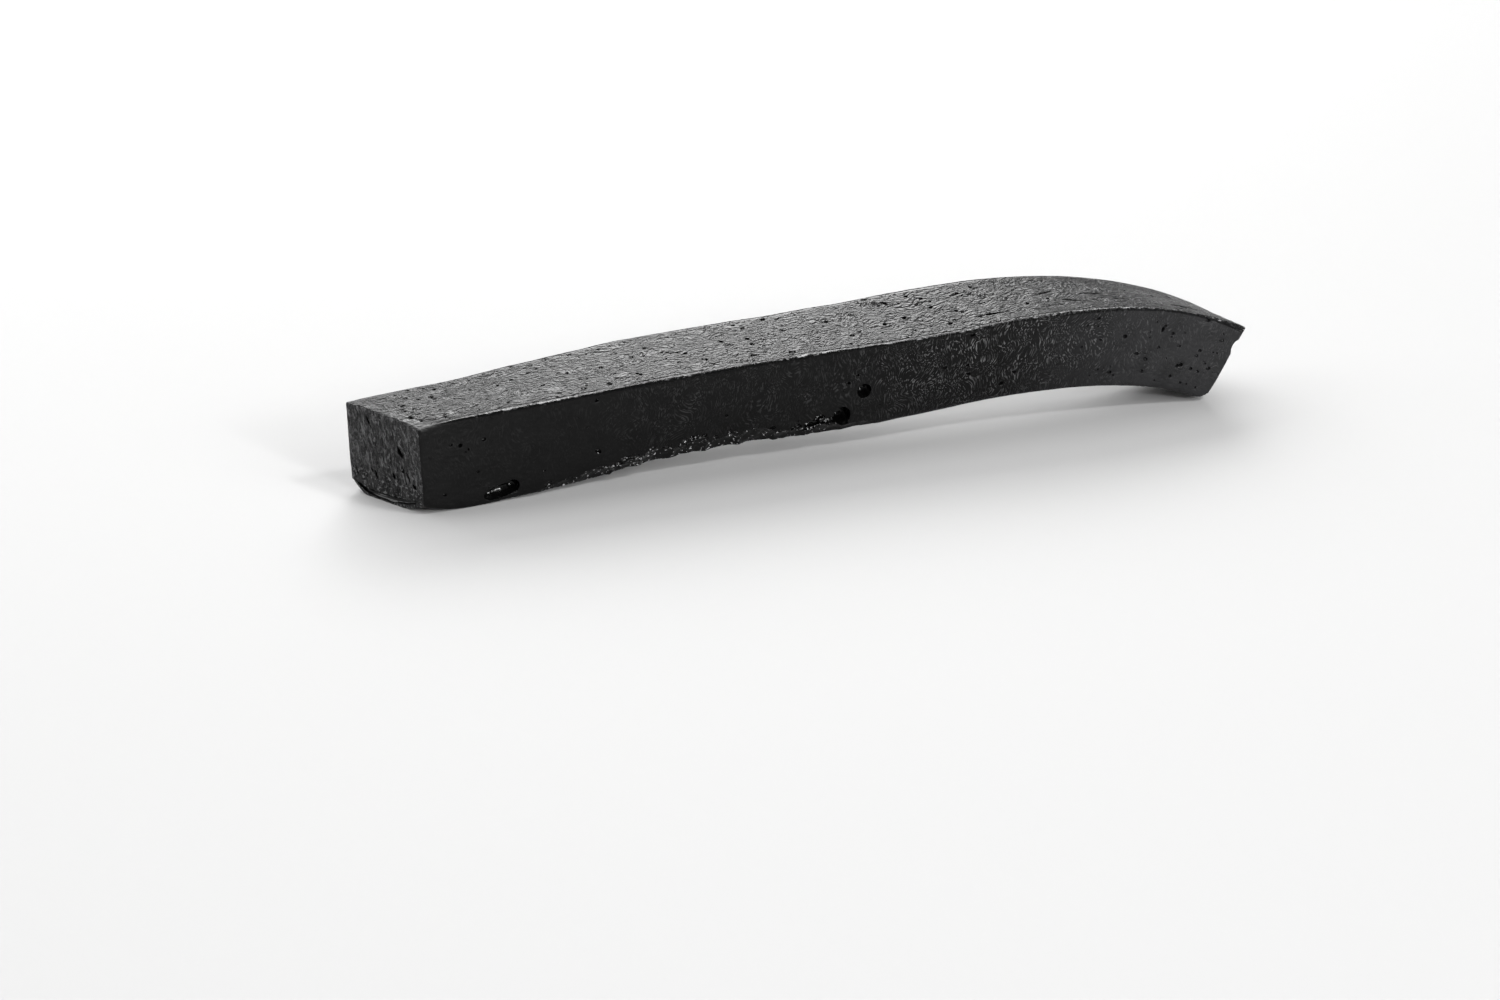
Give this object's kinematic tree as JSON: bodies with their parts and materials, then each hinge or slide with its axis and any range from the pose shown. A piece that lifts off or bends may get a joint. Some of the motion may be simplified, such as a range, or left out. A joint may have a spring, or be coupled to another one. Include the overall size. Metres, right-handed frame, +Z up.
{
  "type": "soft licorice stick",
  "caption": "Soft black licorice stick, square in section, bent in a low arch with a hooked tip, one end cut askew, with bubbles and a torn lower edge.",
  "frame": {"origin": "under the middle of the stick's outline, on the surface it lies on", "axes": "+X along the stick from its thick cut end to its hooked tip, +Y from the shown side to the hidden side, +Z up"},
  "size_m": [0.129, 0.0154, 0.0183],
  "materials": {
    "licorice": "soft black licorice with a satin, finely wrinkled skin, glossier in its bubbles and torn edge and fibrous on its cut ends"
  },
  "bodies": {
    "root": {"licorice_stick": "licorice"}
  },
  "joints": []
}
